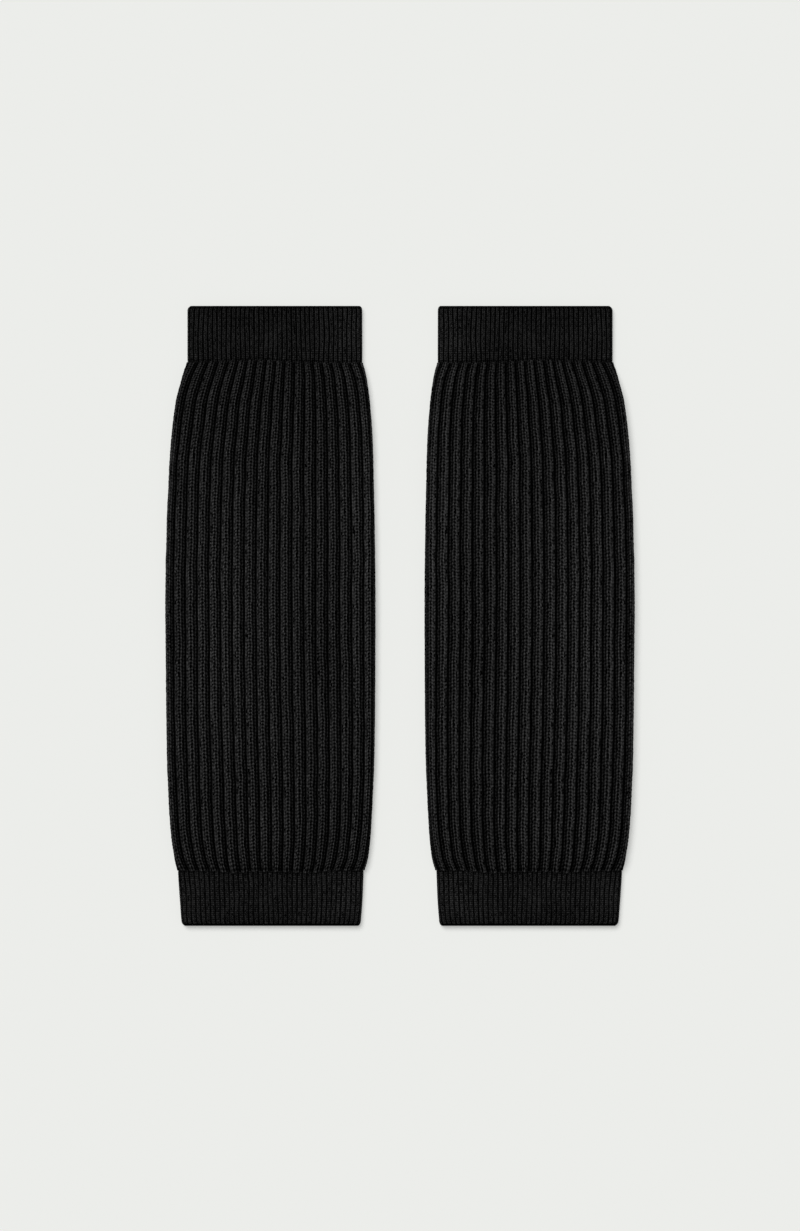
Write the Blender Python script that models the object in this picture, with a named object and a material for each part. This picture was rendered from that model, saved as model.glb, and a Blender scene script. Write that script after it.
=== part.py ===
"""A pair of ribbed knit leg warmers, lying flat side by side.

Each leg warmer is a tube in three pieces: a top cuff and a bottom cuff in a fine rib, and a leg
in a bold two-by-two rib between them. The tube lies flat, so its front and back panels rest on
each other and the cloth turns over at both sides. +Y runs up the leg, +Z up from the surface,
and the origin is at the middle of the pair, on the surface that it lies on.
"""

import math
from collections import namedtuple

import bmesh
import bpy

# ---------------------------------------------------------------- driving dimensions, in mm
MM = 0.001
LENGTH = 400.0
TOP_SEAM = 364.35  # how far up the leg the top cuff is joined on
BOTTOM_SEAM = 34.75  # and the bottom cuff
SEAM_GAP = 0.3
SLOT = 0.6  # height of the space between the front and back panels
SLOT_END = 0.4  # how far the slot's rounded end runs past its straight part
CREASE_ANGLE = math.radians(50.0)  # edges sharper than this are shaded as creases

# A row for each section: how far up the leg it is, how far its inner and outer sides lie from
# the middle of the pair, the thickness of both panels together, how far the underside is lifted
# off the surface, and how far the ribs in the middle of the panel drift outwards there, in ribs.
Section = namedtuple("Section", "up inner outer thick lift drift", defaults=(0.0,))

TOP_CUFF = (
    Section(400.0, 26.0, 134.8, 3.4, 0.7),
    Section(399.2, 25.0, 136.2, 4.4, 0.2),
    Section(397.2, 24.6, 137.0, 4.8, 0.0),
    Section(TOP_SEAM + SEAM_GAP / 2, 24.5, 137.0, 4.8, 0.0),
)

LEG = (
    Section(TOP_SEAM - SEAM_GAP / 2, 24.3, 137.5, 5.4, 0.0, -0.14),
    Section(353.4, 21.9, 141.1, 6.8, 0.0, -0.13),
    Section(337.9, 19.7, 145.0, 7.6, 0.0, -0.10),
    Section(314.7, 17.9, 147.7, 8.0, 0.0, 0.0),
    Section(291.5, 17.2, 149.1, 8.2, 0.0, 0.08),
    Section(260.5, 16.5, 150.5, 8.2, 0.0, 0.11),
    Section(210.2, 16.0, 151.5, 8.2, 0.0, 0.10),
    Section(152.1, 16.1, 151.1, 8.2, 0.0, 0.04),
    Section(113.4, 16.6, 150.6, 8.2, 0.0, -0.08),
    Section(82.4, 17.8, 149.5, 8.0, 0.0, -0.16),
    Section(59.2, 19.2, 147.9, 7.6, 0.0, -0.20),
    Section(43.7, 21.1, 145.8, 6.8, 0.0, -0.20),
    Section(BOTTOM_SEAM + SEAM_GAP / 2, 23.3, 143.5, 5.4, 0.0, -0.20),
)

BOTTOM_CUFF = (
    Section(BOTTOM_SEAM - SEAM_GAP / 2, 23.4, 143.3, 4.8, 0.0),
    Section(12.7, 24.6, 141.7, 4.8, 0.0),
    Section(2.8, 25.3, 140.9, 4.8, 0.0),
    Section(0.8, 26.0, 140.0, 4.4, 0.2),
    Section(0.0, 27.4, 138.4, 3.4, 0.7),
)

# A rib's outline: a row for each corner, with its place across one rib from -0.5 to 0.5, away
# from the other leg warmer, and its height from 0 in the groove to 1 on the crest.
Corner = namedtuple("Corner", "across height")

# Two by two: a low purl wale, a narrow knit wale, a notch, a wide knit wale, and the groove that
# hides the second purl wale.
BOLD_CORNERS = (
    Corner(-0.45, 0.35),
    Corner(-0.36, 0.15),
    Corner(-0.24, 0.9),
    Corner(-0.07, 0.70),
    Corner(0.04, 1.0),
    Corner(0.22, 1.0),
    Corner(0.29, 0.6),
    Corner(0.36, 0.0),
)
FINE_CORNERS = (
    Corner(-0.50, 0.0),
    Corner(-0.28, 1.0),
    Corner(0.28, 1.0),
)

# A kind of rib: how many lie on the upper panel and both side folds together, how deep the
# grooves are as a share of the thickness of both panels, how far the middle rib is off the
# middle, in ribs, and the corners.
Rib = namedtuple("Rib", "count depth shift corners")

LEG_RIB = Rib(20, 0.22, -0.27, BOLD_CORNERS)
TOP_CUFF_RIB = Rib(41, 0.15, -0.08, FINE_CORNERS)
BOTTOM_CUFF_RIB = Rib(41, 0.15, 0.10, FINE_CORNERS)

# ---------------------------------------------------------------- finish
YARN_COLOUR = (0.008, 0.008, 0.008, 1.0)
YARN_ROUGHNESS = 0.9


def clear_scene():
    for obj in list(bpy.data.objects):
        bpy.data.objects.remove(obj, do_unlink=True)


def yarn_material(name):
    material = bpy.data.materials.new(name)
    material.use_nodes = True
    shader = material.node_tree.nodes["Principled BSDF"]
    shader.inputs["Base Color"].default_value = YARN_COLOUR
    shader.inputs["Roughness"].default_value = YARN_ROUGHNESS
    shader.inputs["Metallic"].default_value = 0.0
    material.diffuse_color = YARN_COLOUR
    return material


def rib_corners(rib):
    """The corners of every rib over the upper panel and both folds, as (place, height).

    A place runs from -1 to 1, from one end of the underside over the top to the other.
    """
    half_count = rib.count / 2
    corners = []
    for number in range(-rib.count, rib.count + 1):
        for corner in rib.corners:
            place = (number + rib.shift + corner.across) / half_count
            if -1.0 < place < 1.0:
                corners.append((place, corner.height))
    return [(-1.0, 0.0), *corners, (1.0, 0.0)]


def outer_ring(section, rib):
    """Points of a flattened tube's outside, as (distance from the pair's middle, height).

    The path runs along the flat top and round a half circle at each side. The ribs' drift is
    full in the middle of the path and nothing at its ends. A groove moves its point inwards,
    square to the path. Grooves fade out below the widest point, so that the underside is flat.
    """
    radius = section.thick / 2
    middle = (section.inner + section.outer) / 2
    straight = (section.outer - section.inner) / 2 - radius
    half_path = straight + math.pi * radius
    widest = straight + math.pi * radius / 2
    ring = []
    for corner, height in rib_corners(rib):
        place = corner + section.drift * (1.0 - corner**2) / (rib.count / 2)
        along = abs(place) * half_path
        turn = max(along - straight, 0.0) / radius
        fade = min(1.0, (half_path - along) / (half_path - widest))
        reach = radius - rib.depth * section.thick * (1.0 - height) * fade
        across = min(along, straight) + reach * math.sin(turn)
        lift = section.lift + radius + reach * math.cos(turn)
        ring.append((middle + math.copysign(across, place), lift))
    return ring


def inner_ring(section):
    """Points of the plain slot between the panels: two straight runs and a point at each end."""
    radius = section.thick / 2
    middle = (section.inner + section.outer) / 2
    straight = (section.outer - section.inner) / 2 - radius
    level = section.lift + radius
    upper = [(middle + straight * part, level + SLOT / 2) for part in (-1.0, 0.0, 1.0)]
    lower = [(middle + straight * part, level - SLOT / 2) for part in (1.0, 0.0, -1.0)]
    far_end = (middle + straight + SLOT_END, level)
    near_end = (middle - straight - SLOT_END, level)
    return [*upper, far_end, *lower, near_end]


def add_ring(mesh, points, section, side):
    y = (section.up - LENGTH / 2) * MM
    return [mesh.verts.new((side * across * MM, y, lift * MM)) for across, lift in points]


def join_rings(mesh, rings):
    for first, second in zip(rings, rings[1:]):
        for i, corner in enumerate(first):
            mesh.faces.new((first[i - 1], corner, second[i], second[i - 1]))


def ring_edges(mesh, ring):
    return [mesh.edges.get((ring[i - 1], corner)) for i, corner in enumerate(ring)]


def knit_tube(name, sections, rib, side):
    """One piece of knitted tube: ribbed outside, plain slot inside, and flat ends."""
    mesh = bmesh.new()
    outside = [add_ring(mesh, outer_ring(row, rib), row, side) for row in sections]
    inside = [add_ring(mesh, inner_ring(row), row, side) for row in sections]
    join_rings(mesh, outside)
    join_rings(mesh, inside)
    for end in (0, -1):
        edges = ring_edges(mesh, outside[end]) + ring_edges(mesh, inside[end])
        bmesh.ops.triangle_fill(mesh, edges=edges, use_beauty=True)
    bmesh.ops.recalc_face_normals(mesh, faces=mesh.faces)
    data = bpy.data.meshes.new(name)
    mesh.to_mesh(data)
    mesh.free()
    data.shade_smooth()
    data.set_sharp_from_angle(angle=CREASE_ANGLE)
    data.materials.append(yarn_material(name + "_yarn"))
    piece = bpy.data.objects.new(name, data)
    bpy.context.scene.collection.objects.link(piece)
    return piece


def leg_warmer(name, side):
    knit_tube(name + "_top_cuff", TOP_CUFF, TOP_CUFF_RIB, side)
    knit_tube(name + "_leg", LEG, LEG_RIB, side)
    knit_tube(name + "_bottom_cuff", BOTTOM_CUFF, BOTTOM_CUFF_RIB, side)


clear_scene()
leg_warmer("left", -1.0)
leg_warmer("right", 1.0)
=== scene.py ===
# %% [markdown]
# # A pair of ribbed leg warmers, laid flat
#
# The real pair is knitted in black yarn. Each leg warmer is one tube in three pieces: a leg in a
# bold two-by-two rib, and a cuff in a fine rib at each end. They lie side by side on a pale
# table, with the front panel of each tube resting on its back panel.
#
# The frame that this lesson loads holds the same six pieces as plain solids of the right size.
# Here each of them is knitted again, stitch by stitch, as one closed surface.

import math
from collections import namedtuple

import bpy
import numpy as np
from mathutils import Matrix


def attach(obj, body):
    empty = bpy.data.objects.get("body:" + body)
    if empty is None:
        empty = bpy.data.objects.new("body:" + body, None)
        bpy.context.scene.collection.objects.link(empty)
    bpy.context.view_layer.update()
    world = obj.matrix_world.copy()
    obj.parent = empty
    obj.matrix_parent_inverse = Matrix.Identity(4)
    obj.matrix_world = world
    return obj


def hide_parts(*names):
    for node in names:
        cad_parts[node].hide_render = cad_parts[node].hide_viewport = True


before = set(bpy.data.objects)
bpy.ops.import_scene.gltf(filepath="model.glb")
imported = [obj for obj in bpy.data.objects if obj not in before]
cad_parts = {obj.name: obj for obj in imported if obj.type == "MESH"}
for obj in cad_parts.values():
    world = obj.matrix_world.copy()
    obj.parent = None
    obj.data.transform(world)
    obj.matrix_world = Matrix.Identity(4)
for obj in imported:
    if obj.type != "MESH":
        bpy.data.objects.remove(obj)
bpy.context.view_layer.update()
MM = 0.001
print("pieces in the frame:", ", ".join(sorted(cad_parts)))


def add_object(name, data):
    """A new object of the scene, which holds a mesh, a light or a camera."""
    made = bpy.data.objects.new(name, data)
    bpy.context.scene.collection.objects.link(made)
    return made


# %% [markdown]
# ## Measure the flattened tubes
#
# A tube of cloth that lies flat has a flat front panel, a flat back panel, and a half-round fold
# at each side. Four numbers describe it at any height up the leg: where its middle is, how far
# the flat part reaches to each side of that, the radius of the folds, and how far its underside
# is lifted off the table. The solids hold these numbers in rings of points, so they are measured
# there instead of being typed in again. All lengths below are in millimetres.

# %% Measure the rings of a solid
Outline = namedtuple("Outline", "up middle straight radius lift")
FLAT_WITHIN = 1e-3  # a point this near to a ring's lowest height lies on its flat underside


def ring_measures(points):
    """One ring's (up, middle, straight, radius, lift).

    The underside's flat run ends where the folds begin, so its width gives the middle and the
    straight part, and half of the ring's height is the radius of the folds.
    """
    low, high = points[:, 2].min(), points[:, 2].max()
    flat = np.abs(points[points[:, 2] < low + FLAT_WITHIN, 0])
    middle = (flat.min() + flat.max()) / 2
    straight = (flat.max() - flat.min()) / 2
    return points[0, 1], middle, straight, (high - low) / 2, low


def measure_outline(node):
    """The measures of every ring of a solid, from the bottom up, as arrays.

    The points of a ring share one height, to a hundredth of a millimetre.
    """
    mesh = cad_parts[node].data
    points = np.empty(len(mesh.vertices) * 3)
    mesh.vertices.foreach_get("co", points)
    points = points.reshape(-1, 3) / MM
    heights = np.round(points[:, 1], 2)
    rings = [ring_measures(points[heights == up]) for up in np.unique(heights)]
    return Outline(*np.array(rings).T)


outlines = {node: measure_outline(node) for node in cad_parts}
for node, outline in sorted(outlines.items()):
    print(f"{node}: {len(outline.up)} rings, {np.ptp(outline.up):.1f} mm long")

# %% [markdown]
# ## A smooth line through a few rings
#
# Straight lines from ring to ring would show as corners in the sides of the tube. A cubic curve
# between each two rings rounds them off. Its slope at a ring is the harmonic mean of the slopes
# of the lines on both sides, and level where those slopes disagree. That choice never lets the
# curve swing past a ring, so the piece stays within the solid's size.

# %% Smooth curves
def ring_slopes(places, values):
    """The curve's slope at each place: the harmonic mean of its neighbouring lines' slopes."""
    lines = np.diff(values) / np.diff(places)
    before, after = lines[:-1], lines[1:]
    agree = before * after > 0
    total = np.where(agree, before + after, 1.0)
    inside = np.where(agree, 2 * before * after / total, 0.0)
    return np.concatenate([lines[:1], inside, lines[-1:]])


def smooth_curve(at, places, values):
    """Cubic pieces through (places, values), read at the places in `at`.

    With t the share of the way from one place to the next, the value at t is the first value
    times (1 + 2t)(1 - t) squared, plus the next one times t squared times (3 - 2t), plus the
    first slope times t(1 - t) squared and the next one times t squared times (t - 1), both
    times the step between the places.
    """
    slopes = ring_slopes(places, values)
    i = np.clip(np.searchsorted(places, at) - 1, 0, len(places) - 2)
    step = places[i + 1] - places[i]
    t = np.clip((at - places[i]) / step, 0.0, 1.0)
    start = (1 + 2 * t) * (1 - t) ** 2 * values[i] + t * (1 - t) ** 2 * step * slopes[i]
    end = t * t * (3 - 2 * t) * values[i + 1] + t * t * (t - 1) * step * slopes[i + 1]
    return start + end


def outline_at(outline, up):
    """The outline's four measures at every height in `up`, as arrays of the same shape."""
    return [smooth_curve(up, outline.up, values) for values in outline[1:]]


# %% [markdown]
# ## The rib as a knitter sees it
#
# Knitting is columns of stitches, called wales, crossed by rows. In the bold rib two knit wales
# stand up, side by side, and two purl wales sink between them. Laid flat, one knit wale of each
# pair turns its face up and looks wide. The other one leans away and looks narrow, and of the two
# purl wales only one can be seen at the bottom of the groove. Between the two knit wales each row
# leaves a small dark hole.
#
# A table holds this with a row for each line of points that runs up the rib: its place across the
# rib from -0.5 to 0.5, away from the other leg warmer, its height on a row of stitches and
# between two rows, from 0 in the groove to 1 on the crest, and how far the row has risen there,
# in rows. The rise bends each row into the V shapes of knit stitches. The bottom cuff's knit wales
# are fuller than the top cuff's, with hardly a valley between them.

# %% The wales of each rib
Wale = namedtuple("Wale", "across on between rise")

BOLD_FRONT = (
    Wale(-0.485, 0.58, 0.36, 0.06),
    Wale(-0.385, 0.12, 0.0, 0.06),
    Wale(-0.31, 0.74, 0.54, 0.22),
    Wale(-0.24, 1.0, 0.85, 0.36),
    Wale(-0.17, 0.78, 0.04, 0.46),
    Wale(-0.12, 0.66, 0.0, 0.48),
    Wale(-0.05, 0.98, 0.36, 0.44),
    Wale(0.01, 0.96, 0.94, 0.20),
    Wale(0.13, 0.97, 0.74, -0.07),
    Wale(0.205, 0.95, 1.0, -0.04),
    Wale(0.275, 0.36, 0.46, 0.04),
    Wale(0.335, 0.0, 0.0, 0.10),
    Wale(0.41, 0.03, 0.0, 0.08),
)
BOLD_BACK = (
    Wale(-0.40, 0.0, 0.0, 0.5),
    Wale(-0.12, 1.0, 0.80, 0.0),
    Wale(0.22, 1.0, 0.80, 0.0),
)
FINE_FRONT = (
    Wale(-0.5, 0.0, 0.0, 0.5),
    Wale(-0.40, 0.0, 0.0, 0.4),
    Wale(-0.23, 1.0, 0.64, 0.2),
    Wale(0.0, 0.50, 0.34, 0.0),
    Wale(0.23, 1.0, 0.64, 0.2),
    Wale(0.40, 0.0, 0.0, 0.4),
)
FULL_FRONT = (
    Wale(-0.5, 0.12, 0.10, 0.5),
    Wale(-0.40, 0.07, 0.06, 0.4),
    Wale(-0.23, 0.88, 0.56, 0.2),
    Wale(0.0, 0.60, 0.41, 0.0),
    Wale(0.23, 0.88, 0.56, 0.2),
    Wale(0.40, 0.07, 0.06, 0.4),
)
FINE_BACK = (
    Wale(-0.5, 0.0, 0.0, 0.5),
    Wale(-0.2, 1.0, 0.8, 0.0),
    Wale(0.2, 1.0, 0.8, 0.0),
)

# %% [markdown]
# ## A knit is a rib, a row height and a depth
#
# The front count is how many ribs lie over the front panel and both folds, and the back count how
# many lie under the back panel. The shift is how far the nearest rib is off the tube's middle, in
# ribs. The depth is the groove's, as a share of the tube's whole thickness. The lines are how
# many lines of points a row gets: two are enough for the leg's tall rows, whose finer shape is
# left to the material. The crowd is the share by which rows are taller at the bottom end and
# closer at the top one. Where a stretch of the knit is tight its grooves close by a share. The
# wander is how far ribs stray sideways, in millimetres, and the jog how far stitches stray up or
# down, in rows.
#
# Laid out by hand, the leg is neither straight nor square. In the middle of the front its ribs
# drift away from the other leg warmer halfway up, and towards it near both cuffs. They spread to
# both sides above the bottom cuff and crowd to the middle below the top one. Its rows climb
# away from the other leg warmer, in a bend near the top, where the cloth is pulled so straight
# that the lines between its rows hardly show. A table says how the cloth lies at a few heights:
# the drift and the spread in ribs, the tilt in rows for each rib, the bow in rows for each rib
# squared, how open the holes are and how deep the lines, and how far the open stitches of a fold
# bulge, in millimetres.

# %% The three knits
Knit = namedtuple(
    "Knit",
    "front back front_count back_count shift depth row crowd lines close lay wander jog seed",
)
# The hole and line columns set how deep holes and lines are, in shape and in painted shade.
Lay = namedtuple("Lay", "up drift spread tilt bow hole line bulge")

SQUARE = tuple(Lay(up, 0.0, 0.0, 0.0, 0.0, 1.0, 1.0, 0.27) for up in (-200.0, 200.0))
LEG_LAY = (
    Lay(-165.0, -0.16, 0.05, 0.080, -0.004, 1.10, 1.25, 0.85),
    Lay(-132.0, -0.16, 0.10, 0.075, -0.004, 1.10, 1.20, 0.48),
    Lay(-99.0, -0.09, 0.05, 0.070, -0.004, 1.05, 1.05, 0.40),
    Lay(-67.0, 0.01, 0.05, 0.080, -0.005, 1.00, 0.95, 0.35),
    Lay(-35.0, 0.08, 0.03, 0.085, 0.0, 1.15, 1.10, 0.32),
    Lay(-3.0, 0.10, 0.0, 0.092, 0.002, 1.20, 1.10, 0.42),
    Lay(30.0, 0.12, 0.03, 0.120, 0.003, 1.05, 0.95, 0.38),
    Lay(62.0, 0.11, 0.04, 0.140, 0.009, 1.05, 0.90, 0.35),
    Lay(94.0, 0.13, 0.03, 0.170, 0.012, 1.10, 0.85, 0.42),
    Lay(126.0, -0.02, -0.04, 0.210, 0.015, 1.30, 1.00, 0.52),
    Lay(165.0, -0.21, -0.17, 0.210, 0.013, 1.30, 1.00, 0.62),
)
HOLE_DEPTH = 0.45  # a place that sinks more than this between two rows is a hole, or else a line
FULL_SPREAD = 2.6  # brings the spread's cubic to 1 where it is greatest

LEG = Knit(
    front=BOLD_FRONT, back=BOLD_BACK, front_count=20, back_count=16, shift=-0.27, depth=0.22,
    row=2.12, crowd=0.05, lines=2, close=0.03, lay=LEG_LAY, wander=0.15, jog=0.10, seed=11,
)
TOP_CUFF = Knit(
    front=FINE_FRONT, back=FINE_BACK, front_count=41, back_count=36, shift=-0.08, depth=0.15,
    row=1.3, crowd=0.0, lines=4, close=0.08, lay=SQUARE, wander=0.3, jog=0.0, seed=12,
)
BOTTOM_CUFF = TOP_CUFF._replace(front=FULL_FRONT, shift=0.10, seed=13)
KNITS = {"leg": LEG, "top_cuff": TOP_CUFF, "bottom_cuff": BOTTOM_CUFF}


def ribs_round(knit):
    """How many ribs go all round the tube."""
    return knit.front_count + knit.back_count


def lay_at(knit, up):
    """How the knit lies at every height in `up`, as one row of arrays."""
    table_up, *columns = np.array(knit.lay).T
    return Lay(up, *(smooth_curve(up, table_up, column) for column in columns))


def drifted(place, knit, up):
    """Places moved by the knit's drift and spread at each height.

    With m the share of the way from the middle of the front to its side, the drift moves a place
    by 1 - m squared, and the spread by m times that, away from the middle.
    """
    lay = lay_at(knit, up)
    share = np.clip(place / (knit.front_count / 2), -1.0, 1.0)
    return place + (lay.drift + FULL_SPREAD * lay.spread * share) * (1.0 - share**2)


def climb(place, knit, up):
    """How many rows higher the cloth's rows lie: tilt times place plus bow times its square.

    The back panel carries the tilt back to nothing, so that each row meets itself again.
    """
    lay = lay_at(knit, up)
    half = knit.front_count / 2
    whole = half + knit.back_count / 2
    tilted = np.interp(place, [-whole, -half, half, whole], [0.0, -half, half, 0.0])
    return lay.tilt * tilted + lay.bow * np.minimum(np.abs(place), half) ** 2


def wale_columns(knit):
    """Every line of points round the tube, as arrays of place, on, between and rise.

    A place counts ribs from the middle of the front, from minus half of all ribs to plus half.
    """
    ribs = ribs_round(knit)
    found = []
    for wales, on_front in ((knit.front, True), (knit.back, False)):
        table = np.array(wales)
        numbers = np.arange(-ribs, ribs + 1)[:, None]
        place = (numbers + knit.shift + table[None, :, 0]).ravel()
        rest = np.tile(table[:, 1:], (len(numbers), 1))
        front = np.abs(place) <= knit.front_count / 2
        kept = (front == on_front) & (np.abs(place) < ribs / 2)
        found.append(np.column_stack([place, rest])[kept])
    columns = np.concatenate(found)
    return columns[np.argsort(columns[:, 0])].T


for name, knit in KNITS.items():
    print(f"{name}: {wale_columns(knit).shape[1]} lines of points round the tube")

# %% [markdown]
# ## Unevenness
#
# Hand-feel comes from small faults: ribs that wander, rows that close up, stitches that differ.
# A ripple is a sum of a few sine waves whose directions and starts come from a seeded generator.
# Each wave turns a whole number of times round the tube, so it meets itself again. Because the
# seed is fixed, the piece comes out the same each time.

# %% Ripples
Waves = namedtuple("Waves", "seed turns length")

TIGHT_WAVES = Waves(seed=100, turns=16, length=22.0)  # the seed is added to the knit's own
WANDER_WAVES = Waves(seed=200, turns=12, length=26.0)
JOG_WAVES = Waves(seed=300, turns=72, length=12.0)
WAVE_COUNT = 14


def ripple(knit, waves, around, up):
    """A soft random wave of about -1 to 1, the same on each run.

    It is a sum of sines, each with up to `waves.turns` waves round the tube and, up the leg, a
    wave no shorter than `waves.length`. `around` is the place round the tube in turns.
    """
    random = np.random.default_rng(knit.seed + waves.seed)
    across = random.integers(-waves.turns, waves.turns + 1, WAVE_COUNT)
    along = random.uniform(-1.0, 1.0, WAVE_COUNT) / waves.length
    start = random.uniform(0.0, 1.0, WAVE_COUNT)
    phase = across * around[..., None] + along * up[..., None] + start
    return np.sin(2 * math.pi * phase).sum(-1) / math.sqrt(WAVE_COUNT)


# %% [markdown]
# ## Troughs laid in one by one
#
# A leg warmer that was smoothed flat still has a few soft hollows, most of them beside the seams,
# where the wide leg is drawn in to the narrow cuff. Each one is a Gaussian dent in the front
# panel, with its own place, size, depth and turn. Where the cloth turns under at a side only a
# part of a dent is left, and the back panel has none, because the table holds it flat.

# %% The troughs of the leg
Trough = namedtuple("Trough", "out up width length depth turn")

TROUGHS = (
    Trough(47.0, -150.0, 11.0, 9.0, 1.3, 30.0),
    Trough(60.0, -156.0, 9.0, 5.0, 0.9, 10.0),
    Trough(46.0, 149.0, 7.0, 9.0, 0.9, -15.0),
    Trough(72.0, 153.0, 9.0, 6.0, 0.7, 0.0),
    Trough(126.0, 158.0, 12.0, 5.0, 0.8, 10.0),
    Trough(141.0, 122.0, 6.0, 18.0, 0.6, 5.0),
    Trough(52.0, 12.0, 16.0, 40.0, 0.45, 12.0),
    Trough(137.0, -70.0, 7.0, 30.0, 0.4, -4.0),
    Trough(96.0, -95.0, 5.0, 26.0, 0.3, 20.0),
    Trough(80.0, 70.0, 5.0, 34.0, 0.3, -14.0),
)
PAST_SIDE = 0.4  # how much of a dent is left where the cloth has turned under


def trough_depth(out, up):
    """How far the cloth is pressed in at each point: the sum of turned Gaussian dents.

    `out` is measured along the cloth, so the back panel lies out past all of them.
    """
    depth = np.zeros_like(out)
    for trough in TROUGHS:
        turn = math.radians(trough.turn)
        x = out - trough.out
        y = up - trough.up
        across = (x * math.cos(turn) + y * math.sin(turn)) / trough.width
        along = (y * math.cos(turn) - x * math.sin(turn)) / trough.length
        depth += trough.depth * np.exp(-(across**2) - along**2)
    return depth


# %% [markdown]
# ## Painted light and shade on the cloth
#
# Towards a cuff the cloth looks darker, and out on the broad middle of the leg it looks a little
# lighter, and so does the edge that faces the other leg warmer. These are painted light and shade:
# a second table of soft Gaussian patches paints them into the colour and says by how much, as a
# share of the yarn's own tone: the broad ones first, then the small ones, and the cuffs' last.

# %% The painted light and shade patches
Patch = namedtuple("Patch", "out up width length share")

PAINTED_LIGHT_PATCHES = (
    Patch(85.0, 150.0, 150.0, 70.0, -0.08),
    Patch(85.0, -155.0, 150.0, 40.0, -0.02),
    Patch(118.0, -12.0, 32.0, 70.0, 0.20),
    Patch(50.0, -20.0, 18.0, 110.0, -0.12),
    Patch(142.0, 0.0, 7.0, 120.0, -0.12),
    Patch(24.0, 90.0, 14.0, 110.0, 0.22),
    Patch(90.0, -138.0, 38.0, 16.0, 0.14),
    Patch(48.0, -152.0, 16.0, 16.0, -0.08),
    Patch(30.0, -148.0, 8.0, 14.0, 0.08),
    Patch(62.0, 150.0, 24.0, 14.0, -0.10),
    Patch(145.0, 150.0, 12.0, 16.0, -0.12),
    Patch(20.0, 28.0, 7.0, 45.0, 0.14),
    Patch(85.0, 177.0, 150.0, 14.0, 0.12),
    Patch(28.0, 178.0, 14.0, 20.0, 0.34),
    Patch(46.0, 194.0, 20.0, 10.0, 0.12),
    Patch(90.0, 197.0, 20.0, 9.0, -0.16),
    Patch(130.0, 190.0, 14.0, 12.0, 0.06),
    Patch(85.0, -178.0, 150.0, 11.0, 0.10),
    Patch(36.0, -177.0, 16.0, 13.0, 0.32),
    Patch(140.0, -182.0, 14.0, 18.0, 0.20),
    Patch(84.0, -196.0, 16.0, 9.0, -0.10),
    Patch(48.0, -193.0, 12.0, 9.0, 0.10),
)


def painted_light_tone(out, up):
    """The painted light and shade at each point, about 1: the sum of Gaussian patches."""
    tone = np.ones_like(out)
    for patch in PAINTED_LIGHT_PATCHES:
        across = (out - patch.out) / patch.width
        along = (up - patch.up) / patch.length
        tone += patch.share * np.exp(-(across**2) - along**2)
    return tone


# %% [markdown]
# ## Carry the knit round the flattened tube
#
# A point's place on the cloth is a distance along the path round the tube, from the middle of the
# front: along the flat front, round the fold, and back under the flat back panel. How far it
# stands out from the tube's inner line is its reach. One formula turns both into a point, for the
# outside of the cloth, with a reach of most of the fold's radius, and for the inside, with a
# reach of half the slot between the panels.

# %% The path round the tube
SLOT = 0.6  # the space between the front and back panels
LEAST_WALL = 0.7


def path_distance(place, knit, straight, radius):
    """The distance along the path for a place counted in ribs.

    The front's ribs share the flat front and both half circles, and the back's ribs share the
    flat back.
    """
    half_front = knit.front_count / 2
    front = np.minimum(np.abs(place), half_front) / half_front
    back = np.maximum(np.abs(place) - half_front, 0.0) / (knit.back_count / 2)
    return np.sign(place) * (front * (straight + math.pi * radius) + back * straight)


def tube_points(distance, reach, up, middle, straight, radius, lift, side):
    """Points of the cloth, with the formula of the path above.

    The turn is 0 on the front, half a circle on the back. Sideways a point is at its flat
    distance plus reach times sine of turn, and in height at the inner line plus reach times its
    cosine.
    """
    along = np.abs(distance)
    turn = np.clip((along - straight) / radius, 0.0, math.pi)
    beneath = np.maximum(along - straight - math.pi * radius, 0.0)
    across = np.minimum(along, straight) - beneath + reach * np.sin(turn)
    x = side * (middle + np.sign(distance) * across)
    z = lift + radius + reach * np.cos(turn)
    return np.stack(np.broadcast_arrays(x, up, z), -1)


# %% [markdown]
# ## Knit the outside of a piece
#
# The outside gets two or four lines of points for every row. A line lies on a row of stitches or
# between two rows, and its height follows the table. The rows climb as the cloth lies, and come
# level again over the last few before an end.
#
# At a seam the crests dip into the join and the low stitches are pinched down, so the grooves run
# out into it as dark wedges. A softer draw of the same kind reaches far up the leg from the seam.
# The last stitches of each piece lie in shade, which is kept with the groove depths for the
# material.

# %% What happens at the ends
End = namedtuple("End", "dip fade pinch draw shade grow")

SEAM_GROW = 0.12  # each side of a seam, leaving a hair's breadth of the solids' gap
LEG_SEAM = End(dip=0.35, fade=1.0, pinch=4.5, draw=55.0, shade=0.0, grow=SEAM_GROW)
CUFF_SEAM = End(dip=0.15, fade=0.6, pinch=1.0, draw=1.0, shade=0.0, grow=SEAM_GROW)
HEM = End(dip=0.0, fade=1.0, pinch=1.0, draw=1.0, shade=0.4, grow=0.0)
DRAW_SHARE = 0.5  # how much of the pinch at an end is the softer draw
END_ROUND = 0.35  # the rounding of a wall's end
SHADE_REACH = 0.9  # how far the shade reaches in from an end

ENDS = {
    "leg": (LEG_SEAM, LEG_SEAM),
    "top_cuff": (CUFF_SEAM, HEM),
    "bottom_cuff": (HEM, CUFF_SEAM),
}


def bell(distance, reach):
    """A bell curve: e to the power of minus the square of distance over reach."""
    return np.exp(-((distance / reach) ** 2))


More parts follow.
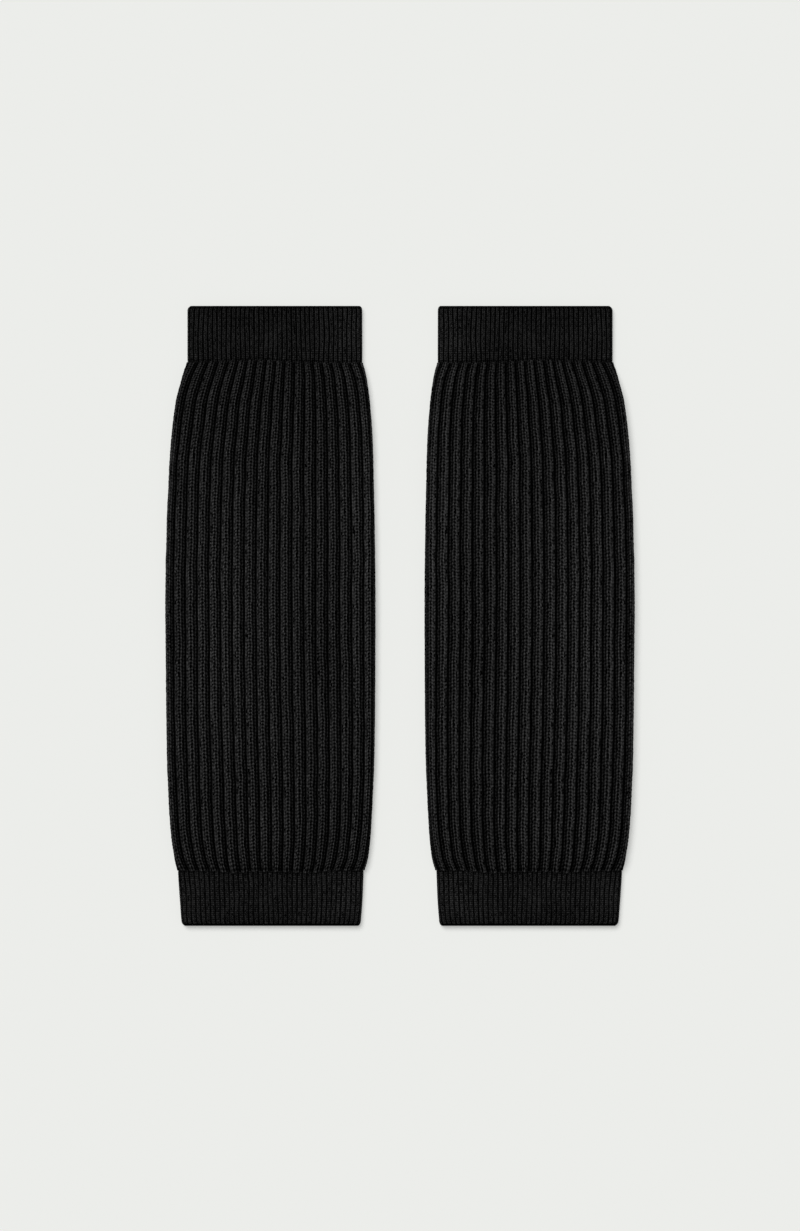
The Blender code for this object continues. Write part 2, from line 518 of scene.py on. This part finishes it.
def end_effects(height, from_bottom, from_top, ends):
    """How the two ends change the knit: (pinched height, dip, shade).

    Each effect is a bell curve on the distance to the end. The pinch takes a height towards its
    own square, which leaves crests and groove floors where they are.
    """
    dip = shade = pinch = 0.0
    for distance, end in zip((from_bottom, from_top), ends):
        pinch = pinch + bell(distance, end.pinch) * (1.0 - DRAW_SHARE)
        pinch = pinch + bell(distance, end.draw) * DRAW_SHARE
        dip = dip + end.dip * bell(distance, end.fade)
        shade = shade + end.shade * bell(distance, SHADE_REACH)
    return height - pinch * height * (1.0 - height), dip, shade


# %% The outside of a piece
LEVEL_ROWS = 10.0  # how many rows it takes the climb to come level at an end
TIGHT_SWING = 0.6  # how strongly the ripple makes a stretch tight or loose
TIGHTEST = 0.88  # how far the holes open in the tightest stretches, as a share
LOOSEST = 1.12
FOLD_CLOSE = 0.75  # how much of a hole the fold's turn closes
CREST_FROM = 0.3  # the height from which a point belongs to a crest
STRAY_LOW = 0.12  # how far a crest may lie too low, as a share of the groove's depth
STRAY_HIGH = 0.2  # and a groove point too high
STRAY_POWER = 5  # the higher it is, the fewer groove points stray far


def run_rows(outline, knit, ends):
    """(row number of each line, height of each point, its distances from bottom and top).

    A point's row is its line's number plus its wale's rise, plus the climb and the jog, which
    come level over the last rows before an end. With s the share of the way up, the crowding
    moves a row up by the crowd times s times 1 - s.
    """
    place, _, _, rise = wale_columns(knit)
    bottom = outline.up[0] - ends[0].grow + END_ROUND
    top = outline.up[-1] + ends[1].grow - END_ROUND
    rows = round((top - bottom) / knit.row)
    number = np.arange(rows * knit.lines + 1)[:, None] / knit.lines
    level = bottom + number * knit.row
    jog = knit.jog * ripple(knit, JOG_WAVES, place / ribs_round(knit), level)
    climbed = climb(place, knit, level) + jog
    from_end = np.minimum(number, rows - number)
    risen = number + rise * np.clip(from_end, 0.0, 1.0)
    share = (risen + climbed * np.clip(from_end / LEVEL_ROWS, 0.0, 1.0)) / rows
    up = bottom + (top - bottom) * (share + knit.crowd * share * (1.0 - share))
    return number, up, up - bottom, top - up


def stitch_heights(knit, number, up, turn, tight):
    """Each point's height, from 0 in the groove to 1 on the crest.

    It is mixed from the table's two heights by a cosine of the row number. Where the cloth is
    tight the holes close and the grooves fill a little, and a fold's turn closes the holes by
    the square of its sine. Single crests are lower and single groove points higher by chance.
    """
    _, on, between, _ = wale_columns(knit)
    lay = lay_at(knit, up)
    opened = np.where(on - between > HOLE_DEPTH, lay.hole, lay.line)
    opened = np.minimum(opened * (LOOSEST + (TIGHTEST - LOOSEST) * tight), 1.0)
    opened = opened * (1.0 - FOLD_CLOSE * np.sin(turn) ** 2)
    low = on + (between - on) * opened
    height = low + (on - low) * (0.5 + 0.5 * np.cos(2 * math.pi * number))
    height = height + knit.close * tight**2 * (1.0 - height)
    random = np.random.default_rng(knit.seed).uniform(0.0, 1.0, height.shape)
    is_crest = height > CREST_FROM
    return height + np.where(is_crest, -STRAY_LOW * random, STRAY_HIGH * random**STRAY_POWER)


def outside_grid(outline, knit, ends, side):
    """(points, each point's painted shade from 0 on a crest to 1, from its groove depth and the
    ends' shade, each line's row number).

    Rows run up the piece and columns round it. Ripples move the ribs sideways and tighten some
    stretches. The dip at an end fades out round the folds by the square of the turn's cosine,
    which keeps the sides' outline whole, and the folds bulge by the square of its sine.
    """
    place = wale_columns(knit)[0]
    number, up, from_bottom, from_top = run_rows(outline, knit, ends)
    middle, straight, radius, lift = outline_at(outline, up)
    around = np.broadcast_to(place / ribs_round(knit), up.shape)
    tight = np.clip(0.5 + TIGHT_SWING * ripple(knit, TIGHT_WAVES, around, up), 0.0, 1.0)
    wander = knit.wander * ripple(knit, WANDER_WAVES, around, up)
    distance = path_distance(drifted(place, knit, up), knit, straight, radius) + wander
    turn = np.clip((np.abs(distance) - straight) / radius, 0.0, math.pi)
    height = stitch_heights(knit, number, up, turn, tight)
    height, dip, shade = end_effects(height, from_bottom, from_top, ends)
    depth = knit.depth * 2 * radius * (1.0 - height) + dip * np.cos(turn) ** 2
    above = np.abs(distance) < straight + radius
    depth = depth + trough_depth(middle + distance, up) * np.where(above, 1.0, PAST_SIDE)
    bulge = lay_at(knit, up).bulge * np.sin(turn) ** 2
    reach = np.maximum(radius - depth, SLOT / 2 + LEAST_WALL) + bulge
    points = tube_points(distance, reach, up, middle, straight, radius, lift, side)
    # The colour record is painted shade: the groove depth plus the ends' shade.
    return points, np.clip(1.0 - height + shade, 0.0, 1.0), number[:, 0]


# %% [markdown]
# ## An uneven seam
#
# A leg and a cuff are linked stitch by stitch. Where the cloth was pulled straight by hand the
# seam runs up or down a little, so each seam has a short table of how far it strays. The links
# also pull the grooves back and let the crests of the bold ribs bulge over the cuff, so the seam
# is scalloped on the front. Both pieces are moved by the same amounts, which depend only on a
# point's place, so the leg and the cuff still meet without touching.

# %% Bend the seams
Stray = namedtuple("Stray", "out rise")
Seam = namedtuple("Seam", "end bulge strays")

BOTTOM_SEAM = Seam(0, -0.5, (
    Stray(24.0, 1.0), Stray(44.0, 1.2), Stray(51.0, 0.1), Stray(61.0, -0.6), Stray(76.0, 0.2),
    Stray(94.0, 0.3), Stray(108.0, -0.6), Stray(119.0, 0.6), Stray(143.0, 0.8),
))
TOP_SEAM = Seam(-1, 0.5, (
    Stray(24.0, -0.8), Stray(40.0, -1.2), Stray(60.0, -0.9), Stray(75.0, -0.2), Stray(90.0, 0.9),
    Stray(105.0, 0.1), Stray(120.0, -0.1), Stray(138.0, -0.6),
))
STRAY_REACH = 6.0  # how far from a seam its straying is felt
BULGE_REACH = 2.2
BULGE_FADE = 3.0  # how far from a fold the scallops reach their full size
LOOKUP_STEPS = 401  # how finely the ribs' places along a seam are worked out


def rib_places(out, end):
    """Which of the leg's places lies at each distance `out` on the front, at one of its ends."""
    up, *measures = (values[end] for values in outlines["right_leg"])
    middle, straight, radius, lift = measures
    half = LEG.front_count / 2
    place = np.linspace(-half, half, LOOKUP_STEPS)
    distance = path_distance(drifted(place, LEG, up), LEG, straight, radius)
    points = tube_points(distance, radius, up, middle, straight, radius, lift, 1.0)
    front = np.abs(distance) < straight + radius * math.pi / 2
    return np.interp(out, points[front, 0], place[front])


def bend_seams(points, on_front):
    """Move points up or down near both seams, by the stray there plus a cosine on each rib.

    The cosine is for the front alone, and fades out towards the folds.
    """
    out = np.abs(points[..., 0])
    for seam in (BOTTOM_SEAM, TOP_SEAM):
        up, middle, straight, *_ = (values[seam.end] for values in outlines["right_leg"])
        from_seam = points[..., 1] - up
        stray_out, rise = np.array(seam.strays).T
        stray = smooth_curve(out, stray_out, rise) * bell(from_seam, STRAY_REACH)
        flat = np.clip((straight - np.abs(out - middle)) / BULGE_FADE, 0.0, 1.0) * on_front
        ribs = np.cos(2 * math.pi * (rib_places(out, seam.end) - LEG.shift)) * flat
        points[..., 1] += stray + seam.bulge * ribs * bell(from_seam, BULGE_REACH)


# %% [markdown]
# ## Close the ends and line the tube
#
# The cloth has an inside too, of which hardly anything shows while the tube lies flat. Solidify
# could make it, but it would repeat every stitch where nobody looks. Here the surface rolls over
# the top end of the wall, runs back through the inside in a few plain lines, and rolls over the
# bottom end to meet itself.

# %% The ends and the inside of a piece
ROLL = (0.12, 0.5, 0.88)  # how far from the outside to the inside each line of an end is
INSIDE_LINES = 6
# Painted shade for the rolled ends and the inside, given as a groove depth.
PLAIN_PAINTED_SHADE = 0.6  # the groove depth that shades the ends and the inside


def inside_line(outline, knit, place, up, side):
    """One line of points round the slot inside the tube, at one height up the leg."""
    level = np.full_like(place, up)
    middle, straight, radius, lift = outline_at(outline, level)
    distance = path_distance(drifted(place, knit, level), knit, straight, radius)
    return tube_points(distance, SLOT / 2, level, middle, straight, radius, lift, side)


def rolled_end(outer, inner, end):
    """Lines from an outside line to an inside one over the end of the wall, at height `end`."""
    lines = [outer + (inner - outer) * share for share in ROLL]
    for line in lines:
        line[:, 1] = end
    return lines


def whole_grid(outline, knit, ends, side):
    """All lines of a piece in order: outside, top end, inside downwards, bottom end."""
    outer, groove, rows = outside_grid(outline, knit, ends, side)
    place = wale_columns(knit)[0]
    low_end = outline.up[0] - ends[0].grow
    high_end = outline.up[-1] + ends[1].grow
    heights = np.linspace(high_end - END_ROUND, low_end + END_ROUND, INSIDE_LINES)
    inner = [inside_line(outline, knit, place, up, side) for up in heights]
    top = rolled_end(outer[-1], inner[0], high_end)
    bottom = rolled_end(outer[0], inner[-1], low_end)
    points = np.concatenate([outer, top, inner, bottom[::-1]])
    bend_seams(points, np.abs(place) <= knit.front_count / 2)
    plain = len(points) - len(outer)
    groove = np.concatenate([groove, np.full((plain, len(place)), PLAIN_PAINTED_SHADE)])
    rows = np.concatenate([rows, rows[-1] + 1.0 + np.arange(plain)])
    return points, groove, rows


# %% [markdown]
# ## From grid to mesh
#
# Both directions of the grid close on themselves, like a ring doughnut, so the mesh has no open
# edge. Each point joins its neighbours to the right and above in one four-sided face. The left
# leg warmer is the mirror image of the right one, so its faces are listed the other way round to
# keep them pointing out.
#
# Two maps go with the mesh. The first one counts ribs across and rows up, and the yarn material
# follows it. The second one is laid out once within the unit square, in even steps of length, for
# baking the finish into pictures. Each point also keeps three records that paint light and shade
# into the colour: its groove depth with the ends' shade, which darkens it as painted shade, the
# patches' painted light and shade, and how deep the painted shade of the lines between rows is
# there.

# %% Make a mesh of a closed grid
def next_one(numbers, axis):
    """Each one's next neighbour along an axis. The last one's is the first."""
    return np.roll(numbers, -1, axis)


def grid_faces(lines, columns, side):
    """Corner numbers of each face, and its corners' line and column without wrapping."""
    index = np.arange(lines * columns).reshape(lines, columns)
    right = next_one(index, 1)
    corners = np.stack([index, right, next_one(right, 0), next_one(index, 0)], -1)
    line, column = np.indices((lines, columns))
    line = np.stack([line, line, line + 1, line + 1], -1)
    column = np.stack([column, column + 1, column + 1, column], -1)
    found = [array.reshape(-1, 4) for array in (corners, line, column)]
    return [array[:, ::-1] for array in found] if side < 0 else found


def running_length(points, axis):
    """The mean length from the first line, or column, to each next one, as a share of all."""
    steps = np.linalg.norm(np.diff(np.concatenate([points, points.take([0], axis)], axis),
                                   axis=axis), axis=-1).mean(1 - axis)
    return np.concatenate([[0.0], np.cumsum(steps)]) / steps.sum()


def add_map(mesh, name, across, up, line, column):
    """A UV map with `across` for each column of the grid and `up` for each line."""
    layer = mesh.uv_layers.new(name=name, do_init=False)
    pairs = np.stack([across[column], up[line]], -1)
    layer.uv.foreach_set("vector", pairs.astype(np.float32).ravel())


def add_record(mesh, name, values):
    """A number kept with each point, which materials can read by its name."""
    record = mesh.attributes.new(name, "FLOAT", "POINT")
    record.data.foreach_set("value", values.astype(np.float32).ravel())


def closed_mesh(name, points, place, ribs, rows, side):
    """A mesh of a grid that closes both ways, with its maps, in metres.

    `ribs` is how many ribs go all round, so that the map's last column ends one round later.
    """
    lines, columns = points.shape[:2]
    corners, line, column = grid_faces(lines, columns, side)
    mesh = bpy.data.meshes.new(name)
    mesh.vertices.add(lines * columns)
    mesh.vertices.foreach_set("co", (points * MM).astype(np.float32).ravel())
    mesh.loops.add(corners.size)
    mesh.loops.foreach_set("vertex_index", corners.astype(np.int32).ravel())
    mesh.polygons.add(len(corners))
    mesh.polygons.foreach_set("loop_start", np.arange(0, corners.size, 4, dtype=np.int32))
    mesh.update(calc_edges=True)
    mesh.shade_smooth()
    round_place = np.append(place, place[0] + ribs)
    round_rows = np.append(rows, rows[-1] + 1.0)
    add_map(mesh, "Knit", round_place, round_rows, line, column)
    add_map(mesh, "OFBake", running_length(points, 1), running_length(points, 0), line, column)
    return mesh


# %% [markdown]
# ## Knit the pair
#
# One function knits each piece from its solid's outline and its own knit. The piece then takes
# the place of the solid: it rides on the pair's one body, and the solid is hidden and stays only
# for collision.

# %% Knit all six pieces
SIDES = {"left": -1.0, "right": 1.0}


def knit_piece(side_name, kind):
    """A finished piece, knitted and put in the place of its solid."""
    node = f"{side_name}_{kind}"
    side = SIDES[side_name]
    knit = KNITS[kind]
    points, groove, rows = whole_grid(outlines[node], knit, ENDS[kind], side)
    place = wale_columns(knit)[0] - knit.shift
    mesh = closed_mesh(node + "_knit", points, place, ribs_round(knit), rows, side)
    # painted shade of the grooves, the holes and the ends
    add_record(mesh, "groove", groove)
    # the patches' painted light and shade
    add_record(mesh, "tone", painted_light_tone(np.abs(points[..., 0]), points[..., 1]))
    # how deep the painted shade of the lines between rows is
    add_record(mesh, "line", lay_at(knit, points[..., 1]).line)
    piece = add_object(node + "_knit", mesh)
    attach(piece, "root")
    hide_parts(node)
    return piece


pieces = {(side, kind): knit_piece(side, kind) for side in SIDES for kind in KNITS}
for piece in pieces.values():
    print(f"{piece.name}: {2 * len(piece.data.polygons)} triangles")

# %% [markdown]
# ## A little algebra for materials
#
# A material is a graph of nodes. Written as formulas it stays readable, so a small class wraps
# the output of a node, and its operators add the Math nodes. The reflected forms let a plain
# number stand on the left. Every other node comes from one method, which sets the node's options
# first and then fills its sockets with numbers or links.

# %% Shader algebra
class Term:
    """The output of a node in a formula."""

    def __init__(self, graph, socket):
        self.graph = graph
        self.socket = socket

    def __add__(self, other):
        return self.graph.math("ADD", self, other)

    def __sub__(self, other):
        return self.graph.math("SUBTRACT", self, other)

    def __rsub__(self, other):
        return self.graph.math("SUBTRACT", other, self)

    def __mul__(self, other):
        return self.graph.math("MULTIPLY", self, other)

    __radd__ = __add__
    __rmul__ = __mul__

    def of(self, operation):
        return self.graph.math(operation, self)


class Graph:
    """A material's nodes."""

    def __init__(self, name):
        self.material = bpy.data.materials.new(name)
        self.material.use_nodes = True
        self.tree = self.material.node_tree
        self.shader = self.tree.nodes["Principled BSDF"]

    def node(self, kind, settings, sockets):
        """A node of one kind, with its options set and then its sockets filled."""
        made = self.tree.nodes.new(kind)
        for name, value in settings.items():
            setattr(made, name, value)
        for name, value in sockets.items():
            self.fill(made.inputs[name], value)
        return made

    def fill(self, socket, value):
        if isinstance(value, Term):
            self.tree.links.new(value.socket, socket)
        else:
            socket.default_value = value

    def finish(self, sockets):
        """Fill the shader's own sockets, and give the finished material."""
        for name, value in sockets.items():
            self.fill(self.shader.inputs[name], value)
        return self.material

    def math(self, operation, *values):
        made = self.node("ShaderNodeMath", {"operation": operation}, dict(enumerate(values)))
        return Term(self, made.outputs[0])

    def out(self, kind, output, settings=None, sockets=None):
        made = self.node(kind, settings or {}, sockets or {})
        return Term(self, made.outputs[output])

    def attribute(self, name):
        return self.out("ShaderNodeAttribute", "Fac", {"attribute_name": name})

    def place(self, *numbers):
        return self.out("ShaderNodeCombineXYZ", 0, {}, dict(enumerate(numbers)))

    def random(self, *numbers):
        """A number by chance, from 0 to 1, for each place of whole numbers."""
        return self.out("ShaderNodeTexWhiteNoise", "Value", {}, {"Vector": self.place(*numbers)})

    def noise(self, vector, scale):
        sockets = {"Vector": vector, "Scale": scale, "Detail": 2.0}
        return self.out("ShaderNodeTexNoise", 0, {}, sockets)

    def mix(self, share, first, second):
        """A colour mixed from two."""
        return self.out("ShaderNodeMix", 2, {"data_type": "RGBA"}, {0: share, 6: first, 7: second})


# %% [markdown]
# ## Black yarn
#
# Black yarn isn't pure black: its lit crests send back two or three parts in a hundred of the
# light, and much less comes out of the grooves, where dark dye meets dark shadow, and the finish
# paints that shade into the colour of the grooves. Two rows of points to a row of knitting can't
# show each yarn, so the finish paints it: each line of stitches gets painted shade as if it were
# round, light along its middle and dark where it turns down to the next one. A stitch is two legs
# of yarn side by side, and no two of these took the dye or catch the light alike. Random tones
# give that grain: one for each whole stitch, one for each half of a leg against the leg beside it,
# and one for the twist, which makes one leg of a stitch lighter and the other darker. Where a
# stretch of yarn was paler, a streak runs up one line of legs.

# %% The tone of single yarns
# round is how strong the painted round shade of each line of stitches is, and fall how steeply the
# painted groove shade darkens.
Yarn = namedtuple(
    "Yarn", "crest groove fall ridge plies line_shade wales offset round grain streak mottle"
)
MIDDLING = 0.45  # a middling crest's share of the crest colour, which leaves room for lighter ones
STRAND_TONE = 0.64  # how much two legs side by side may differ
TWIST_TONE = 1.5  # how much the twist may make them differ
TWIST_DRAW = 7.0  # any number, so that the twist's random numbers aren't the stitch's
STREAK_APART = 3.7  # how far apart in the noise the streaks of two lines of stitches lie
STREAK_PACE = 0.15  # how fast a streak changes, for each row
MOTTLE_SCALE = 70.0
FIRST_LEG = 1000.0  # even, and large enough for no leg's number to be negative


def yarn_tone(graph, yarn, rib, row, fibre, where):
    """The yarn's own tone, about 1: a sum of random tones from the stitch down to the fibre, times
    a painted shade for its roundness.

    `wale` counts lines of stitches, `leg` half of them and `half_row` half rows. The strand is a
    random number less the next leg's, for each half row. The twist and the streak are times 1 on
    one leg of a stitch and minus 1 on the other. All are added to 1, with the fibre and a mottle,
    and the sum is multiplied by 1 less a cosine whose crests lie between the lines, a painted
    shade that makes each line of stitches look round.
    """
    across = rib * yarn.wales + yarn.offset
    wale = across.of("FLOOR")
    leg = (across * 2.0).of("FLOOR")
    half_row = (row * 2.0).of("FLOOR")
    stitch = graph.random(wale, (row + 0.5).of("FLOOR"))
    strand = graph.random(leg, half_row) - graph.random(leg + 1.0, half_row)
    twist = graph.random(wale, half_row, TWIST_DRAW)
    which = graph.math("MODULO", leg + FIRST_LEG, 2.0) * 2.0 - 1.0
    streak = graph.noise(graph.place(wale * STREAK_APART, row * STREAK_PACE), 1.0)
    mottle = graph.noise(where, MOTTLE_SCALE)
    # Painted shade: each line of stitches light along its middle and dark where it turns down, as
    # a round yarn is lit.
    painted_round_shade = 1.0 - (across * (2 * math.pi)).of("COSINE") * yarn.round
    tone = 1.0 + (stitch - 0.5) * yarn.grain + strand * STRAND_TONE
    tone = tone + ((twist - 0.5) * TWIST_TONE + (streak - 0.5) * yarn.streak) * which
    tone = tone + (fibre - 0.5) + (mottle - 0.5) * yarn.mottle
    return tone * painted_round_shade


# %% [markdown]
# ## The finish of the knit
#
# The colour follows three records of the mesh, which paint light and shade into it: how deep each
# point lies in a groove, which darkens it as painted shade, the painted light and shade of the
# patches there, and how deep the line between two rows is, which darkens that line as painted
# shade. The surface is matt, with only a trace of sheen at a slant.
#
# The finest relief is bump on the knit map: a ridge for each row, which follows the V of its
# stitches, the twist of the plies, and the fibres. Its height is in millimetres.

# %% The yarn material
FIBRE_SCALE = 1100.0
FIBRE_RELIEF = 0.12  # in millimetres, as all relief is
PLY_RELIEF = 0.03
PLY_CLIMB = 2.0  # how many plies are crossed from one row to the next
LEAST_ROUGHNESS = 0.8
FIBRE_ROUGHNESS = 0.15
SHEEN = 0.01
SHEEN_ROUGHNESS = 0.4


def grey(value):
    return (value, value, value, 1.0)


def yarn_finish(name, yarn):
    """A knitted yarn finish.

    The share of the crest's colour is the height of the stitch, 1 less the groove record, to the
    power of the yarn's fall, which paints shade into the grooves, times the patches' painted light
    and shade, times 1 less the line between the rows squared, which paints shade into those lines,
    times the yarn's own tone with its painted round shade. Bump height is a cosine ridge on each
    row, plus the plies' slanted sine, plus the fibre noise.
    """
    graph = Graph(name)
    where = graph.out("ShaderNodeTexCoord", "Object")
    counts = graph.out("ShaderNodeUVMap", "UV", {"uv_map": "Knit"})
    split = graph.node("ShaderNodeSeparateXYZ", {}, {"Vector": counts})
    rib, row = Term(graph, split.outputs[0]), Term(graph, split.outputs[1])
    fibre = graph.noise(where, FIBRE_SCALE)
    # Painted shade: the deeper a point lies in a groove, the darker its colour.
    unshaded = graph.math("POWER", 1.0 - graph.attribute("groove"), yarn.fall)
    turn = row * (2 * math.pi)
    line = 0.5 - 0.5 * turn.of("COSINE")
    # Painted shade in the lines between rows, as deep as the line record says.
    painted_line_shade = 1.0 - line * line * graph.attribute("line") * yarn.line_shade
    # The patches' painted light and shade, times the yarn's own tone.
    tone = graph.attribute("tone") * yarn_tone(graph, yarn, rib, row, fibre, where)
    share = graph.out("ShaderNodeClamp", 0, {}, {"Value": unshaded * painted_line_shade * tone * MIDDLING})
    colour = graph.mix(share, grey(yarn.groove), grey(yarn.crest))
    ply = (rib * yarn.plies + row * PLY_CLIMB) * (2 * math.pi)
    relief = ply.of("SINE") * PLY_RELIEF
    height = turn.of("COSINE") * yarn.ridge + relief + fibre * FIBRE_RELIEF
    bump = graph.out("ShaderNodeBump", 0, {}, {"Strength": 1.0, "Distance": MM, "Height": height})
    return graph.finish({
        "Base Color": colour,
        "Roughness": LEAST_ROUGHNESS + fibre * FIBRE_ROUGHNESS,
        "Normal": bump,
        "Specular IOR Level": 0.0,
        "Sheen Weight": SHEEN,
        "Sheen Roughness": SHEEN_ROUGHNESS,
    })


# The yarn's groove colour is the near-black of the deepest painted shade in the grooves.
LEG_YARN = yarn_finish("leg_yarn", Yarn(
    crest=0.063, groove=0.0001, fall=1.3, ridge=0.22, plies=11.0, line_shade=0.40, wales=4.0,
    offset=0.44, round=0.4, grain=0.25, streak=2.8, mottle=0.05,
))
CUFF_YARN = yarn_finish("cuff_yarn", Yarn(
    crest=0.057, groove=0.0001, fall=1.4, ridge=0.10, plies=5.0, line_shade=0.45, wales=2.0,
    offset=0.0, round=0.0, grain=0.7, streak=0.9, mottle=0.6,
))

for (side, kind), piece in pieces.items():
    is_leg = kind == "leg"
    piece.data.materials.append(LEG_YARN if is_leg else CUFF_YARN)

# %% [markdown]
# ## The table
#
# The pair lies on a plain pale table with a painted glow, which keeps the shadows light. It is one
# large
# square that reaches past every view. It lies a little below the pair's lowest points, so that
# no two surfaces fill the same place.

# %% The table
FLOOR_LIGHT = np.array([0.838, 0.847, 0.823, 1.0])  # how light the table looks
# Half of the table's brightness is a painted glow, which keeps its shadows light.
PAINTED_FLOOR_GLOW = 0.5  # the share of it that shines up through the table
FLOOR_DROP = 0.2 * MM
FLOOR_HALF = 10.0
FLOOR_GRAIN = 40.0  # the scale of the noise in the table's roughness
FLOOR_ROUGHNESS = (0.9, 0.1)  # the least, and how much the noise adds


def make_floor():
    """A square of table top, larger than any view of the pair."""
    ends = np.array([-FLOOR_HALF, FLOOR_HALF])
    x, y = (axis.ravel() for axis in np.meshgrid(ends, ends))
    mesh = bpy.data.meshes.new("floor")
    points = np.column_stack([x, y, np.full(4, -FLOOR_DROP)])
    mesh.from_pydata(points.tolist(), [], [(0, 1, 3, 2)])
    return add_object("floor", mesh)


def floor_finish():
    """A matt white table with a painted glow, and its roughness varied a little by noise."""
    graph = Graph("pale_board")
    where = graph.out("ShaderNodeTexCoord", "Object")
    grain = graph.out("ShaderNodeTexNoise", 0, {}, {"Vector": where, "Scale": FLOOR_GRAIN})
    return graph.finish({
        "Base Color": tuple(FLOOR_LIGHT * (1.0 - PAINTED_FLOOR_GLOW)),
        "Emission Color": tuple(FLOOR_LIGHT),
        "Emission Strength": PAINTED_FLOOR_GLOW,
        "Roughness": FLOOR_ROUGHNESS[0] + grain * FLOOR_ROUGHNESS[1],
        "Specular IOR Level": 0.0,
    })


floor = make_floor()
floor.data.materials.append(floor_finish())

# %% [markdown]
# ## The light
#
# One large soft light stands high at the upper left, so a short soft shadow falls to the right of
# each piece and below it, and an even light comes from all around. A sun lamp suits this, because
# its light falls the same way on both leg warmers, and its angle sets how soft a shadow's edge is.

# %% Light
WORLD_LIGHT = 0.17
SUN_LIGHT = 0.83  # the sun's share of the light on the table
SUN_HEIGHT = math.radians(56.0)
SUN_FROM = math.radians(125.0)  # where it stands, from +X towards +Y
SUN_SPREAD = math.radians(40.0)


def make_world():
    """An even white light from all around."""
    world = bpy.data.worlds.new("studio")
    world.use_nodes = True
    background = world.node_tree.nodes["Background"]
    background.inputs["Color"].default_value = (1.0, 1.0, 1.0, 1.0)
    background.inputs["Strength"].default_value = WORLD_LIGHT
    bpy.context.scene.world = world


def make_sun():
    """A far light whose strength gives the table its share whatever its height."""
    light = bpy.data.lights.new("soft_light", "SUN")
    light.energy = SUN_LIGHT * math.pi / math.sin(SUN_HEIGHT)
    light.angle = SUN_SPREAD
    sun = add_object("soft_light", light)
    sun.rotation_euler = (0.0, math.pi / 2 - SUN_HEIGHT, SUN_FROM)


make_world()
make_sun()
bpy.context.scene.view_settings.view_transform = "Standard"

# %% [markdown]
# ## The camera
#
# The camera looks straight down from far away through a long lens, so both leg warmers are seen
# from above and not from their sides. A camera without perspective would do the same here, but
# would look odd from other angles.

# %% Camera
PICTURE_HEIGHT = 794.2 * MM  # how much of the table the picture's long side takes in
LENS = 150.0
SENSOR = 36.0
HALF_THICKNESS = 4.0 * MM  # where the sides of the legs are widest
CENTRE_UP = 0.24 * MM
NEAREST, FARTHEST = 0.05, 100.0  # what the camera can see, in metres


def make_camera():
    """A camera straight above, as far as its lens needs for the picture's height."""
    data = bpy.data.cameras.new("overhead")
    data.lens = LENS
    data.sensor_width = SENSOR
    data.clip_start = NEAREST
    data.clip_end = FARTHEST
    camera = add_object("overhead", data)
    camera.location = (0.0, CENTRE_UP, PICTURE_HEIGHT * LENS / SENSOR + HALF_THICKNESS)
    bpy.context.scene.camera = camera


make_camera()

# %% [markdown]
# ## What each piece was cut to
#
# Each piece is a sheet of knit, closed into a tube. Its width is the distance all round the
# tube, halfway through the cloth, and its length is the piece's own. The leg is widest in its
# middle, so its area is summed over the outline.

AREA_STEPS = 200  # how many heights the area is summed over


def cloth_size(outline):
    """(width, length, area) of a tube's cloth: round the tube at half the reach of the folds."""
    up = np.linspace(outline.up[0], outline.up[-1], AREA_STEPS)
    _, straight, radius, _ = outline_at(outline, up)
    width = (4 * straight + 2 * math.pi * radius / 2) * MM
    length = np.ptp(up) * MM
    return width.max(), length, width.mean() * length


for (side, kind), piece in pieces.items():
    width, length, area = cloth_size(outlines[f"{side}_{kind}"])
    print(f"{piece.name}: {width:.3f} x {length:.3f} m, {area:.4f} square metres")
